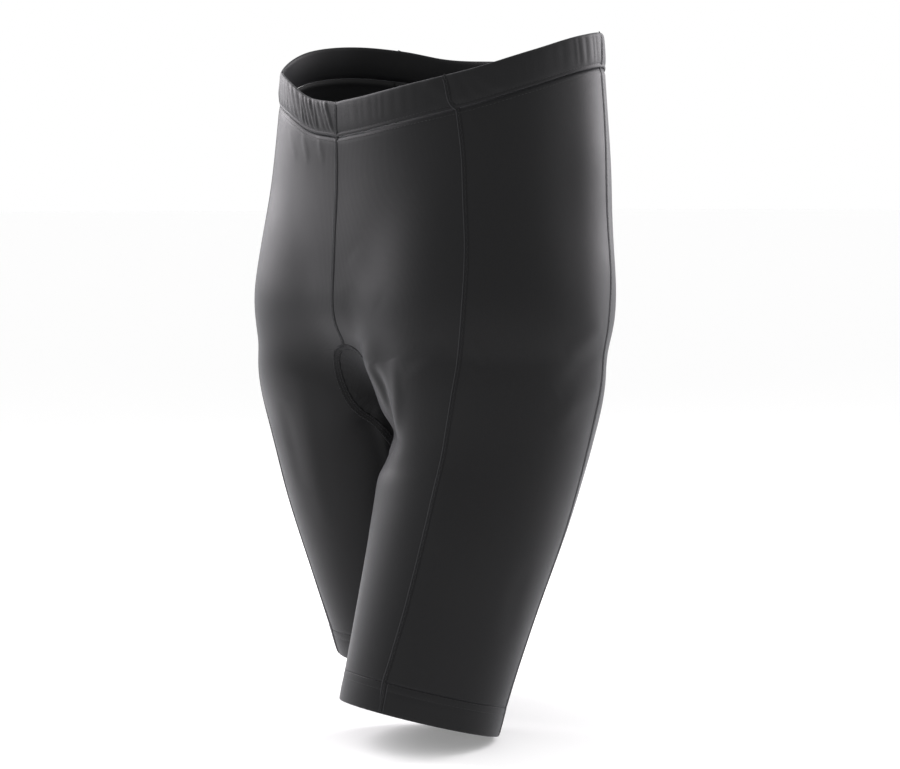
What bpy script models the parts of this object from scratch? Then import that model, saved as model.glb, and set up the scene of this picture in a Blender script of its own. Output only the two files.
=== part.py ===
"""Cycling shorts, filled out as if worn, with no wearer.

Six leg panels (front, side and back on each leg), an oval crotch gusset, an elastic waistband and
two turned-up hems, each a closed wall of cloth. Metres, +Z up. The front faces -Y and +X is the
wearer's left. The origin is in the middle of the waist opening, level with its front rim.
The left leg is half a step forward and the right leg half a step back.
"""
import bmesh
import bpy
import numpy as np
from mathutils import Vector

NAME = "cycling_shorts"

# Thickness of each wall of cloth, the space left between two pieces at a seam, and how much the
# gusset is drawn in from its own sharply curved seam.
PANEL_WALL = 0.0012
GUSSET_WALL = 0.0015
BAND_WALL = 0.0024
HEM_WALL = 0.0020
SEAM_GAP = 0.0003
GUSSET_GAP = 0.0006

# Depth of the waistband and of the hems, how far each stands proud of the panels, and the space
# left between the gathered band and the panels below it.
BAND_DEPTH = 0.026
BAND_PROUD = 0.0006
BAND_GAP = 0.0004
HEM_DEPTH = 0.023
HEM_PROUD = 0.0003

# The general figure that fills the shorts. Each row is one level section of the trunk: its height,
# half its width, and its depth and how square it is (2 is an ellipse) before and behind the middle.
TRUNK_COLUMNS = ("height", "half_width", "front", "front_square", "back", "back_square")
TRUNK = (
    (0.080, 0.142, 0.104, 2.35, 0.100, 2.35),
    (0.000, 0.147, 0.103, 2.45, 0.104, 2.40),
    (-0.060, 0.155, 0.101, 2.75, 0.105, 2.35),
    (-0.120, 0.161, 0.104, 2.90, 0.104, 2.25),
    (-0.180, 0.166, 0.106, 2.75, 0.101, 2.10),
    (-0.230, 0.168, 0.104, 2.40, 0.098, 2.00),
    (-0.300, 0.166, 0.100, 2.00, 0.096, 2.00),
)
TRUNK_ROUNDS_FROM = -0.160
TRUNK_BOTTOM = -0.232
TRUNK_SIZE = 0.110

# One level section of a leg: its height, how far out its middle is, half its width, and its depth
# before and behind the middle.
LEG_COLUMNS = ("height", "out", "half_width", "front", "back")
LEG = (
    (-0.100, 0.082, 0.076, 0.082, 0.086),
    (-0.160, 0.083, 0.080, 0.086, 0.089),
    (-0.220, 0.083, 0.086, 0.090, 0.091),
    (-0.270, 0.087, 0.081, 0.080, 0.084),
    (-0.330, 0.087, 0.076, 0.076, 0.077),
    (-0.400, 0.082, 0.069, 0.071, 0.069),
    (-0.470, 0.077, 0.064, 0.066, 0.064),
    (-0.540, 0.075, 0.062, 0.063, 0.061),
)
LEG_ROUNDS_FROM = -0.170
LEG_TOP = -0.050
LEG_SIZE = 0.080
LEG_BEHIND = -0.013

# How the stride turns each leg: where it starts, how far forward it goes for each metre down,
# and over what length the bend is spread.
STRIDE = {
    "left": {"from_height": -0.235, "forward": 0.270, "spread": 0.030},
    "right": {"from_height": -0.260, "forward": -0.236, "spread": 0.030},
}

# How far the trunk and legs, and the two legs, melt into each other.
GROIN_BLEND = 0.026
CROTCH_BLEND = 0.018

# Height of the waist's rim at each angle from the front, on the left and on the right.
RIM_COLUMNS = ("angle", "left", "right")
RIM = (
    (0.0, -0.007, -0.007),
    (20.0, -0.003, -0.002),
    (40.0, 0.004, 0.013),
    (60.0, 0.014, 0.025),
    (80.0, 0.029, 0.041),
    (100.0, 0.042, 0.046),
    (115.0, 0.046, 0.043),
    (130.0, 0.042, 0.036),
    (150.0, 0.036, 0.033),
    (180.0, 0.033, 0.033),
)

# The hem is a tilted plane: its height on the middle line, and how much it rises for each metre
# back and for each metre outward.
HEM = {
    "left": {"height": -0.4955, "rise_back": -0.270, "rise_out": -0.035},
    "right": {"height": -0.4540, "rise_back": 0.210, "rise_out": 0.000},
}

# The line inside each half that angles round the leg are taken about: how far out it is at the
# waist and in the leg, and how far below the waist it is fully in the leg.
AXIS_OUT_AT_WAIST = 0.030
AXIS_OUT_IN_LEG = 0.086
AXIS_IN_LEG_FROM = 0.280

# Where the two seams of the side panel run, as degrees before and behind the leg's outer side.
SEAM_COLUMNS = ("height", "before", "behind")
SEAMS = (
    (0.040, 48.0, 26.0),
    (0.000, 42.0, 29.0),
    (-0.030, 39.5, 27.0),
    (-0.070, 40.0, 26.0),
    (-0.120, 42.0, 28.0),
    (-0.160, 46.0, 30.0),
    (-0.190, 50.0, 31.0),
    (-0.220, 55.0, 32.0),
    (-0.250, 59.0, 33.0),
    (-0.300, 62.0, 35.0),
    (-0.360, 65.5, 38.0),
    (-0.410, 71.0, 41.0),
    (-0.450, 77.0, 43.0),
    (-0.480, 80.0, 45.0),
)

# The gusset: the heights of its two ends on the middle line, half its width, how full its oval
# is (2 is an ellipse), and how far below the crotch its cross-sections are seen from.
GUSSET_FRONT = -0.197
GUSSET_BACK = -0.190
GUSSET_HALF_WIDTH = 0.036
GUSSET_FULLNESS = 2.8
GUSSET_TIP_HALF_WIDTH = 0.0008
GUSSET_VIEW = 0.030

# Heights of the two outer seams where the gusset starts and ends.
OUTER_AT_GUSSET_TIP = -0.205
OUTER_AT_GUSSET_SIDE = -0.290

# Steps down the trunk, beside the gusset and down the leg, and steps across each piece. The
# trunk's rows lie closer towards the gusset.
TRUNK_ROWS = 8
TRUNK_ROWS_CLOSE_UP = 1.5
GUSSET_ROWS = 8
LEG_ROWS = 9
FRONT_STEPS = 9
SIDE_STEPS = 8
BACK_STEPS = 9
GUSSET_STEPS = 8
GUSSET_FINE_ROWS = 96
HEM_STEPS = 36

# Gathers that the elastic makes in the band. Each stretch runs from one angle to another, in
# degrees from the front, with a count of gathers and how far they rise. They lean a little.
GATHERS = {
    "left": (
        (54.0, 68.0, 3, 0.0007),
        (80.0, 106.0, 6, 0.0009),
        (112.0, 176.0, 13, 0.0009),
    ),
    "right": (
        (4.0, 36.0, 10, 0.0010),
        (40.0, 76.0, 7, 0.0008),
        (82.0, 128.0, 9, 0.0009),
        (134.0, 176.0, 9, 0.0009),
    ),
}
GATHER_STEPS = 4
GATHER_LEAN = 3.0
PLAIN_STEP = 5.0

# Levels down the band, as shares of its depth, each with the share of a gather's rise there.
BAND_LEVELS = ((0.0, 0.15), (0.3, 1.0), (0.7, 1.0), (1.0, 0.1))

# Colour, roughness and metallic value of each kind of cloth.
PANEL_FINISH = ((0.030, 0.030, 0.033, 1.0), 0.42, 0.0)
SIDE_FINISH = ((0.026, 0.026, 0.029, 1.0), 0.44, 0.0)
GUSSET_FINISH = ((0.018, 0.018, 0.020, 1.0), 0.60, 0.0)
BAND_FINISH = ((0.028, 0.028, 0.031, 1.0), 0.48, 0.0)
HEM_FINISH = ((0.027, 0.027, 0.030, 1.0), 0.46, 0.0)

# How the surface is found along a ray: how far to look, in what steps, and how often the step
# that crosses the surface is then halved. A height that depends on its own place on the surface
# is worked out this many times over.
CAST_REACH = 0.26
CAST_STEP = 0.005
CAST_HALVINGS = 18
SETTLING_ROUNDS = 3
NORMAL_REACH = 0.0005

# The crotch curve is looked for in this many directions, and each of the gusset's cross-sections
# over this many degrees to either side.
CROTCH_LOOKS = 121
GUSSET_LOOKS = 161
GUSSET_LOOK_TURN = 120.0


def sign_of(side):
    return 1.0 if side == "left" else -1.0


def column(rows, columns, name, at):
    """Read one named column at a place between the rows, on a smooth curve through them."""
    rows = sorted(rows)
    places = np.array([row[0] for row in rows])
    values = np.array([row[columns.index(name)] for row in rows])
    slopes = np.gradient(values, places)
    at = np.clip(at, places[0], places[-1])
    low = np.clip(np.searchsorted(places, at) - 1, 0, len(places) - 2)
    span = places[low + 1] - places[low]
    t = (at - places[low]) / span
    start = (2 * t**3 - 3 * t**2 + 1) * values[low] + (t**3 - 2 * t**2 + t) * span * slopes[low]
    end = (3 * t**2 - 2 * t**3) * values[low + 1] + (t**3 - t**2) * span * slopes[low + 1]
    return start + end


def melt(first, second, width):
    """The lower of two distances, rounded where they meet."""
    overlap = np.maximum(width - np.abs(first - second), 0.0) / width
    return np.minimum(first, second) - overlap**2 * width / 4


def leg_middle(height, side):
    """How far back the middle of a leg is at a height."""
    stride = STRIDE[side]
    below = stride["from_height"] - height
    swung = (below + np.sqrt(below**2 + stride["spread"]**2)) / 2
    return LEG_BEHIND - stride["forward"] * swung


def trunk_distance(points):
    x, y, z = points[..., 0], points[..., 1], points[..., 2]
    half_width = column(TRUNK, TRUNK_COLUMNS, "half_width", z)
    front = column(TRUNK, TRUNK_COLUMNS, "front", z)
    back = column(TRUNK, TRUNK_COLUMNS, "back", z)
    front_square = column(TRUNK, TRUNK_COLUMNS, "front_square", z)
    back_square = column(TRUNK, TRUNK_COLUMNS, "back_square", z)
    depth = np.where(y < 0, front, back)
    square = np.where(y < 0, front_square, back_square)
    section = (np.abs(x / half_width)**square + np.abs(y / depth)**square)**(1 / square)
    rounding = np.maximum(TRUNK_ROUNDS_FROM - z, 0.0) / (TRUNK_ROUNDS_FROM - TRUNK_BOTTOM)
    return (np.hypot(section, rounding) - 1.0) * TRUNK_SIZE


def leg_distance(points, side):
    x, y, z = points[..., 0], points[..., 1], points[..., 2]
    out = column(LEG, LEG_COLUMNS, "out", z) * sign_of(side)
    half_width = column(LEG, LEG_COLUMNS, "half_width", z)
    front = column(LEG, LEG_COLUMNS, "front", z)
    back = column(LEG, LEG_COLUMNS, "back", z)
    behind = y - leg_middle(z, side)
    depth = np.where(behind < 0, front, back)
    section = np.hypot((x - out) / half_width, behind / depth)
    rounding = np.maximum(z - LEG_ROUNDS_FROM, 0.0) / (LEG_TOP - LEG_ROUNDS_FROM)
    return (np.hypot(section, rounding) - 1.0) * LEG_SIZE


def figure_distance(points):
    """Below zero inside the figure and above zero outside it."""
    legs = melt(leg_distance(points, "left"), leg_distance(points, "right"), CROTCH_BLEND)
    return melt(trunk_distance(points), legs, GROIN_BLEND)


def cast(origins, directions, from_outside=False):
    """Go from each origin along its direction to the figure's surface."""
    facing = -1.0 if from_outside else 1.0
    near = np.zeros(origins.shape[:-1])
    far = np.full(origins.shape[:-1], np.nan)
    for step in np.arange(CAST_STEP, CAST_REACH, CAST_STEP):
        passed = facing * figure_distance(origins + directions * step) > 0
        first = passed & np.isnan(far)
        far[first] = step
        near[first] = step - CAST_STEP
    far = np.where(np.isnan(far), CAST_REACH, far)
    for _ in range(CAST_HALVINGS):
        middle = (near + far) / 2
        inside = facing * figure_distance(origins + directions * middle[..., None]) < 0
        near = np.where(inside, middle, near)
        far = np.where(inside, far, middle)
    return origins + directions * near[..., None]


def leg_axis(height, side):
    """The point that a leg's surface is seen from at a height: from near the middle at the waist
    to the middle of the leg at the crotch."""
    down = np.clip(-height / AXIS_IN_LEG_FROM, 0.0, 1.0)
    share = down * down * (3 - 2 * down)
    out = (AXIS_OUT_AT_WAIST + (AXIS_OUT_IN_LEG - AXIS_OUT_AT_WAIST) * share) * sign_of(side)
    return np.stack([out, leg_middle(height, side) * share, height], -1)


def leg_surface(angle, height, side):
    """Surface point at an angle round the leg: 0 outside, -90 in front, 90 behind, 180 inside."""
    turn = np.radians(angle)
    directions = np.stack([np.cos(turn) * sign_of(side), np.sin(turn), np.zeros_like(turn)], -1)
    return cast(leg_axis(height, side), directions)


def leg_angle(points, side):
    """Angle round the leg of points that lie on its surface."""
    across = points - leg_axis(points[..., 2], side)
    return np.degrees(np.arctan2(across[..., 1], across[..., 0] * sign_of(side)))


def front_angle(points):
    """Angle of points from the front, round the middle of the waist: 180 at the back."""
    return np.degrees(np.arctan2(np.abs(points[..., 0]), -points[..., 1]))


def rim_height(angle, side):
    return column(RIM, RIM_COLUMNS, side, angle)


def band_edge_height(angle, side):
    """Height of the waistband's lower edge at an angle round the leg."""
    height = np.zeros_like(angle)
    for _ in range(SETTLING_ROUNDS):
        points = leg_surface(angle, height, side)
        height = rim_height(front_angle(points), side) - BAND_DEPTH
    return height


def hem_plane(points, side):
    hem = HEM[side]
    back, out = points[..., 1], np.abs(points[..., 0])
    return hem["height"] + hem["rise_back"] * back + hem["rise_out"] * out


def hem_height(angle, side, above):
    """Height of a line round the leg, a given length above the hem's lower edge."""
    height = np.full_like(angle, HEM[side]["height"])
    for _ in range(SETTLING_ROUNDS):
        points = leg_surface(angle, height, side)
        height = hem_plane(points, side) + above
    return height


def middle_points(heights, direction):
    """Surface points on the middle line, at the front (-1) or the back (1)."""
    origins = np.stack([0 * heights, 0 * heights, heights], -1)
    return cast(origins, np.array([0.0, direction, 0.0]))


def crotch_curve(steps):
    """Points and outward normals along the middle line, from the gusset's front end to its back
    end, evenly spaced."""
    front = middle_points(np.array([GUSSET_FRONT]), -1.0)[0]
    back = middle_points(np.array([GUSSET_BACK]), 1.0)[0]
    centre = np.array([0.0, (front[1] + back[1]) / 2, TRUNK_ROUNDS_FROM])
    start = np.arctan2(front[2] - centre[2], front[1] - centre[1])
    end = np.arctan2(back[2] - centre[2], back[1] - centre[1])
    turn = np.linspace(start + 2 * np.pi, end + 2 * np.pi, CROTCH_LOOKS)
    directions = np.stack([np.zeros_like(turn), np.cos(turn), np.sin(turn)], -1)
    fine = cast(np.broadcast_to(centre, directions.shape), directions)
    travelled = np.concatenate([[0.0], np.cumsum(np.linalg.norm(np.diff(fine, axis=0), axis=1))])
    wanted = np.linspace(0.0, travelled[-1], steps + 1)
    points = np.stack([np.interp(wanted, travelled, fine[:, k]) for k in range(3)], -1)
    tangent = np.gradient(points, axis=0)
    normals = np.stack([np.zeros(len(points)), tangent[:, 2], -tangent[:, 1]], -1)
    return points, normals / np.linalg.norm(normals, axis=1)[:, None]


def fine_gusset(rows, steps):
    """The gusset's outer surface: rows from front to back, steps from right to left."""
    middle, normals = crotch_curve(rows)
    along = np.linspace(-1.0, 1.0, rows + 1)
    oval = (1.0 - np.abs(along)**GUSSET_FULLNESS)**(1 / GUSSET_FULLNESS)
    half_width = GUSSET_TIP_HALF_WIDTH + (GUSSET_HALF_WIDTH - GUSSET_TIP_HALF_WIDTH) * oval
    turn = np.radians(np.linspace(-GUSSET_LOOK_TURN, GUSSET_LOOK_TURN, GUSSET_LOOKS))
    grid = np.zeros((rows + 1, steps + 1, 3))
    for row in range(rows + 1):
        seen_from = middle[row] + normals[row] * GUSSET_VIEW
        sideways = np.outer(np.sin(turn), [1.0, 0.0, 0.0])
        directions = sideways - np.outer(np.cos(turn), normals[row])
        section = cast(np.broadcast_to(seen_from, directions.shape), directions, True)
        lengths = np.linalg.norm(np.diff(section, axis=0), axis=1)
        travelled = np.concatenate([[0.0], np.cumsum(lengths)])
        travelled -= np.interp(0.0, turn, travelled)
        wanted = np.linspace(-half_width[row], half_width[row], steps + 1)
        grid[row] = np.stack([np.interp(wanted, travelled, section[:, k]) for k in range(3)], -1)
    return grid


def gusset_grid():
    """The gusset with half its rows before, and half behind, the lowest point of each long edge,
    where the inseam meets it. The rows lie closer towards the round ends."""
    fine = fine_gusset(GUSSET_FINE_ROWS, GUSSET_STEPS)
    along = np.linspace(0.0, 1.0, GUSSET_FINE_ROWS + 1)
    rows = 1.0 - np.cos(np.linspace(0.0, np.pi, 2 * GUSSET_ROWS + 1))
    right, left = (
        np.interp(rows, (0.0, 1.0, 2.0), (0.0, along[np.argmin(edge[:, 2])], 1.0))
        for edge in (fine[:, 0], fine[:, -1])
    )
    grid = np.zeros((len(rows), GUSSET_STEPS + 1, 3))
    for step in range(GUSSET_STEPS + 1):
        share = step / GUSSET_STEPS
        wanted = right * (1 - share) + left * share
        line = fine[:, step]
        grid[:, step] = np.stack([np.interp(wanted, along, line[:, k]) for k in range(3)], -1)
    return grid


def line_through(stages):
    """Join stretches that each start where the last one ended."""
    return np.concatenate([stages[0]] + [stage[1:] for stage in stages[1:]])


def trunk_rows(top, bottom):
    """Heights of the trunk's rows."""
    above = np.linspace(1.0, 0.0, TRUNK_ROWS + 1)**TRUNK_ROWS_CLOSE_UP
    return bottom + (top - bottom) * above


def middle_line(side, direction, gusset):
    """A leg's inner edge, as an angle and a height for each row: down the middle of the trunk,
    along the gusset and down the inseam."""
    top_rim = rim_height(90.0 + 90.0 * direction, side)
    tip = GUSSET_FRONT if direction < 0 else GUSSET_BACK
    on_trunk = middle_points(trunk_rows(top_rim - BAND_DEPTH, tip), direction)
    edge = gusset[:, -1] if side == "left" else gusset[:, 0]
    half = edge[:GUSSET_ROWS + 1] if direction < 0 else edge[:GUSSET_ROWS - 1:-1]
    points = np.concatenate([on_trunk[:-1], half])
    angles = leg_angle(points, side)
    angles = np.where(angles * direction < 0, angles + 360.0 * direction, angles)
    heights = points[:, 2]
    end = 180.0 * direction
    bottom = hem_height(np.array([end]), side, HEM_DEPTH)[0]
    return (
        line_through([angles, np.linspace(angles[-1], end, LEG_ROWS + 1)]),
        line_through([heights, np.linspace(heights[-1], bottom, LEG_ROWS + 1)]),
    )


def side_line(side, name):
    """A seam of the side panel, as an angle and a height for each row."""
    direction = -1.0 if name == "before" else 1.0
    top = np.array([0.0])
    bottom = np.array([HEM[side]["height"]])
    for _ in range(2):
        top = band_edge_height(direction * column(SEAMS, SEAM_COLUMNS, name, top), side)
        bottom = hem_height(direction * column(SEAMS, SEAM_COLUMNS, name, bottom), side, HEM_DEPTH)
    heights = line_through([
        trunk_rows(top[0], OUTER_AT_GUSSET_TIP),
        np.linspace(OUTER_AT_GUSSET_TIP, OUTER_AT_GUSSET_SIDE, GUSSET_ROWS + 1),
        np.linspace(OUTER_AT_GUSSET_SIDE, bottom[0], LEG_ROWS + 1),
    ])
    return direction * column(SEAMS, SEAM_COLUMNS, name, heights), heights


def panel_grid(side, first, second, steps):
    """Surface points of a panel between two seam lines, rows from waist to hem."""
    share = np.linspace(0.0, 1.0, steps + 1)[None, :]
    angles = first[0][:, None] * (1 - share) + second[0][:, None] * share
    heights = first[1][:, None] * (1 - share) + second[1][:, None] * share
    rows = np.arange(len(heights))[:, None]
    near_waist = np.clip(1 - rows / TRUNK_ROWS, 0.0, 1.0)
    near_hem = np.clip((rows - TRUNK_ROWS - GUSSET_ROWS) / LEG_ROWS, 0.0, 1.0)
    waist_shift = band_edge_height(angles[0], side) - heights[0]
    hem_shift = hem_height(angles[-1], side, HEM_DEPTH) - heights[-1]
    heights = heights + near_waist * waist_shift + near_hem * hem_shift
    return leg_surface(angles, heights, side)


def pull_in_borders(grid, distance):
    """Move a grid's four borders inward, to leave the gap at its seams."""
    for axis in (0, 1):
        lines = np.moveaxis(grid, axis, 0)
        for edge, inner in ((0, 1), (-1, -2)):
            inward = lines[inner] - lines[edge]
            length = np.linalg.norm(inward, axis=-1, keepdims=True)
            lines[edge] += inward / length * distance
    return grid


def principled(name, finish):
    colour, roughness, metallic = finish
    material = bpy.data.materials.new(name)
    material.use_nodes = True
    shader = material.node_tree.nodes["Principled BSDF"]
    shader.inputs["Base Color"].default_value = colour
    shader.inputs["Roughness"].default_value = roughness
    shader.inputs["Metallic"].default_value = metallic
    material.diffuse_color = colour
    return material


def add_object(name, mesh_data, finish, collection):
    mesh = bpy.data.meshes.new(name)
    mesh_data.to_mesh(mesh)
    mesh_data.free()
    mesh.shade_smooth()
    mesh.set_sharp_from_angle(angle=np.radians(50.0))
    mesh.materials.append(principled(name + "_cloth", finish))
    piece = bpy.data.objects.new(name, mesh)
    collection.objects.link(piece)
    return piece


def add_cloth(name, grid, wall, finish, collection):
    """A plane grid moved onto its surface, then extruded inward to give the cloth its wall."""
    rows, steps = grid.shape[0] - 1, grid.shape[1] - 1
    sheet = bmesh.new()
    bmesh.ops.create_grid(sheet, x_segments=steps, y_segments=rows, size=1.0)
    for vert in sheet.verts:
        step = round((vert.co.x + 1) / 2 * steps)
        row = round((1 - vert.co.y) / 2 * rows)
        vert.co = grid[row, step]
    extruded = bmesh.ops.extrude_face_region(sheet, geom=sheet.faces[:], use_keep_orig=True)
    inner = [part for part in extruded["geom"] if isinstance(part, bmesh.types.BMVert)]
    normals = surface_normals(np.array([vert.co for vert in inner]))
    for vert, normal in zip(inner, normals):
        vert.co -= Vector(normal) * wall
    bmesh.ops.recalc_face_normals(sheet, faces=sheet.faces)
    return add_object(name, sheet, finish, collection)


def add_ring(name, sections, finish, collection):
    """A closed band from cross-sections that follow each other round, each a loop of points."""
    ring = bmesh.new()
    loops = [[ring.verts.new(point) for point in section] for section in sections]
    for here, there in zip(loops, loops[1:] + loops[:1]):
        for k in range(len(here)):
            after = (k + 1) % len(here)
            ring.faces.new((here[k], here[after], there[after], there[k]))
    bmesh.ops.recalc_face_normals(ring, faces=ring.faces)
    return add_object(name, ring, finish, collection)


def surface_normals(points):
    """Outward directions of the figure's surface."""
    slopes = []
    for axis in range(3):
        nudge = np.zeros(3)
        nudge[axis] = NORMAL_REACH
        slopes.append(figure_distance(points + nudge) - figure_distance(points - nudge))
    normals = np.stack(slopes, -1)
    return normals / np.linalg.norm(normals, axis=-1, keepdims=True)


def band_columns(side):
    """Angles from the front for one half of the band, each with how far its gather rises and the
    share of the lean it has, which fades out towards the ends of a stretch."""
    columns = []
    plain_from = 0.0
    for from_angle, to_angle, count, depth in GATHERS[side] + ((180.0, 180.0, 0, 0.0),):
        plain = max(int(round((from_angle - plain_from) / PLAIN_STEP)), 1)
        angles = np.linspace(plain_from, from_angle, plain + 1)[:-1]
        columns += [(angle, 0.0, 0.0) for angle in angles]
        for step in range(count * GATHER_STEPS):
            share = step / (count * GATHER_STEPS)
            rise = depth * (0.5 - 0.5 * np.cos(2 * np.pi * step / GATHER_STEPS))
            angle = from_angle + (to_angle - from_angle) * share
            columns.append((angle, rise, np.sin(np.pi * share)))
        plain_from = to_angle
    return np.array(columns + [(180.0, 0.0, 0.0)])


def band_sections():
    """Cross-sections of the waistband, from the front round by the left."""
    left = band_columns("left")
    right = band_columns("right")[-2:0:-1]
    turn = np.radians(np.concatenate([left[:, 0], -right[:, 0]]))
    rises = np.concatenate([left[:, 1], right[:, 1]])
    leans = np.radians(GATHER_LEAN) * np.concatenate([left[:, 2], -right[:, 2]])
    leftward = np.arange(len(turn)) < len(left)
    outer = []
    inner = []
    for down, share in BAND_LEVELS:
        turned = turn + leans * (down - 0.5)
        angle = np.abs(np.degrees(turned))
        rim = np.where(leftward, rim_height(angle, "left"), rim_height(angle, "right"))
        height = rim - (BAND_DEPTH - BAND_GAP) * down
        directions = np.stack([np.sin(turned), -np.cos(turned), np.zeros_like(turned)], -1)
        points = cast(np.stack([0 * height, 0 * height, height], -1), directions)
        normals = surface_normals(points)
        outer.append(points + normals * (BAND_PROUD + rises * share)[:, None])
        inner.append(points + normals * (BAND_PROUD - BAND_WALL))
    return np.stack(outer + [inner[-1], inner[0]], axis=1)


def hem_sections(side):
    """Cross-sections of a hem, round the leg."""
    angles = np.linspace(-180.0, 180.0, HEM_STEPS + 1)[:-1]
    lower = leg_surface(angles, hem_height(angles, side, 0.0), side)
    upper = leg_surface(angles, hem_height(angles, side, HEM_DEPTH - SEAM_GAP / 2), side)
    lower_normals = surface_normals(lower)
    upper_normals = surface_normals(upper)
    outward = HEM_PROUD
    inward = HEM_PROUD - HEM_WALL
    loop = (
        lower + lower_normals * outward,
        upper + upper_normals * outward,
        upper + upper_normals * inward,
        lower + lower_normals * inward,
    )
    return np.stack(loop, axis=1)


for old in list(bpy.data.objects):
    bpy.data.objects.remove(old, do_unlink=True)
shorts = bpy.data.collections.new(NAME)
bpy.context.scene.collection.children.link(shorts)

gusset = gusset_grid()

for side in ("left", "right"):
    front_middle = middle_line(side, -1.0, gusset)
    back_middle = middle_line(side, 1.0, gusset)
    before = side_line(side, "before")
    behind = side_line(side, "behind")
    panels = (
        ("front", front_middle, before, FRONT_STEPS, PANEL_FINISH),
        ("side", before, behind, SIDE_STEPS, SIDE_FINISH),
        ("back", behind, back_middle, BACK_STEPS, PANEL_FINISH),
    )
    for panel, first, second, steps, finish in panels:
        grid = pull_in_borders(panel_grid(side, first, second, steps), SEAM_GAP / 2)
        if side == "right":
            grid = grid[:, ::-1]
        add_cloth(panel + "_" + side, grid, PANEL_WALL, finish, shorts)
    add_ring("hem_" + side, hem_sections(side), HEM_FINISH, shorts)

add_cloth("gusset", pull_in_borders(gusset, GUSSET_GAP), GUSSET_WALL, GUSSET_FINISH, shorts)
add_ring("waistband", band_sections(), BAND_FINISH, shorts)
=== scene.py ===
import math

import bmesh
import bpy
import numpy as np
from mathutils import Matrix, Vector


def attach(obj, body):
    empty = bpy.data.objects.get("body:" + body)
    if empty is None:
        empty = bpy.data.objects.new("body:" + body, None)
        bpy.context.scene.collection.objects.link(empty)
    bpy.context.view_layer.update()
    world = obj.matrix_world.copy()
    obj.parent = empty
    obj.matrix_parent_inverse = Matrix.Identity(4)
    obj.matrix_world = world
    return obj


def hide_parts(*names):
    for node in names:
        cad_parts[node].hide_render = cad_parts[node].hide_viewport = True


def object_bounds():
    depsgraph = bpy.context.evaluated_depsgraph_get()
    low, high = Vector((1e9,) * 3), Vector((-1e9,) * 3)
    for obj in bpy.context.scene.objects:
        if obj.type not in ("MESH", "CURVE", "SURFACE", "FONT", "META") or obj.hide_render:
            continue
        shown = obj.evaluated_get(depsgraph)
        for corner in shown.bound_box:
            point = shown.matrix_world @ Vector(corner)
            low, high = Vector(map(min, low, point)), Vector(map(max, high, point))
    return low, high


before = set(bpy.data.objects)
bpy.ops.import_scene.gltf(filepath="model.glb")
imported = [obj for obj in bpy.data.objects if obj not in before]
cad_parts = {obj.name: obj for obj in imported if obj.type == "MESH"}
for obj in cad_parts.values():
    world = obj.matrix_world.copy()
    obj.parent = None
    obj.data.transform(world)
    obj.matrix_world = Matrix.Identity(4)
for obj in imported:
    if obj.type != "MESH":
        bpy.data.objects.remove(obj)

cad_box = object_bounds()

# The room.
# A pale floor under the shorts, a white room, a soft light high at the wearer's right and a second
# one high behind. The camera stands off the wearer's left front.
CAMERA_TURN = 52.0
CAMERA_DISTANCE = 2.0
CAMERA_HEIGHT = -0.08
CAMERA_LOOKS_AT = -0.23
LENS_MM = 100.0
SHIFT = 10.0 / 900.0

turn = math.radians(CAMERA_TURN)
place = (CAMERA_DISTANCE * math.sin(turn), -CAMERA_DISTANCE * math.cos(turn), CAMERA_HEIGHT)
looking = Vector((0.0, 0.0, CAMERA_LOOKS_AT)) - Vector(place)
bpy.ops.object.camera_add(location=place, rotation=looking.to_track_quat("-Z", "Y").to_euler())
camera = bpy.context.active_object
camera.data.lens = LENS_MM
camera.data.sensor_width = 36.0
camera.data.shift_x = SHIFT
camera.data.clip_start = 0.05
camera.data.clip_end = 200.0
bpy.context.scene.camera = camera
bpy.context.scene.view_settings.view_transform = "Standard"


LIGHT_DISTANCE = 1.6
LIGHT_AIM = -0.16
LIGHT_HIGH = 1.0
LIGHT_COLOUR = (1.0, 0.96, 1.0)


def soft_light(name, azimuth, elevation, width, watts):
    """A rectangular soft box that faces the shorts from a direction round them, in degrees."""
    a, e = math.radians(azimuth), math.radians(elevation)
    towards = Vector((math.sin(a) * math.cos(e), -math.cos(a) * math.cos(e), math.sin(e)))
    location = Vector((0.0, 0.0, LIGHT_AIM)) + towards * LIGHT_DISTANCE
    bpy.ops.object.light_add(type="AREA", location=location,
                             rotation=(-towards).to_track_quat("-Z", "Y").to_euler())
    light = bpy.context.active_object
    light.name = name
    light.data.shape = "RECTANGLE"
    light.data.size = width
    light.data.size_y = LIGHT_HIGH
    light.data.energy = watts
    light.data.color = LIGHT_COLOUR


soft_light("key_light", -76.0, 24.0, 1.0, 25.0)
soft_light("rim_light", 176.0, 20.0, 0.8, 18.0)

# The room is white on the side that the shorts stand against and a little greyer on the other,
# and the one turns into the other between these shares of the way round.
ROOM_BRIGHT = 1.0
ROOM_DIM = 0.75
ROOM_TURNS = (-0.6, 0.4)
world = bpy.data.worlds.new("white_room")
bpy.context.scene.world = world
world.use_nodes = True
room, wires = world.node_tree.nodes, world.node_tree.links
around = room.new("ShaderNodeTexCoord")
facing = room.new("ShaderNodeVectorMath")
facing.operation = "DOT_PRODUCT"
facing.inputs[1].default_value = (math.sin(turn), -math.cos(turn), 0.0)
wires.new(around.outputs["Generated"], facing.inputs[0])
fade = room.new("ShaderNodeMapRange")
fade.interpolation_type = "SMOOTHSTEP"
fade.inputs["From Min"].default_value = ROOM_TURNS[0]
fade.inputs["From Max"].default_value = ROOM_TURNS[1]
fade.inputs["To Min"].default_value = ROOM_BRIGHT
fade.inputs["To Max"].default_value = ROOM_DIM
wires.new(facing.outputs["Value"], fade.inputs["Value"])
wires.new(fade.outputs["Result"], room["Background"].inputs["Strength"])
room["Background"].inputs["Color"].default_value = (1.0, 1.0, 1.0, 1.0)

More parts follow.
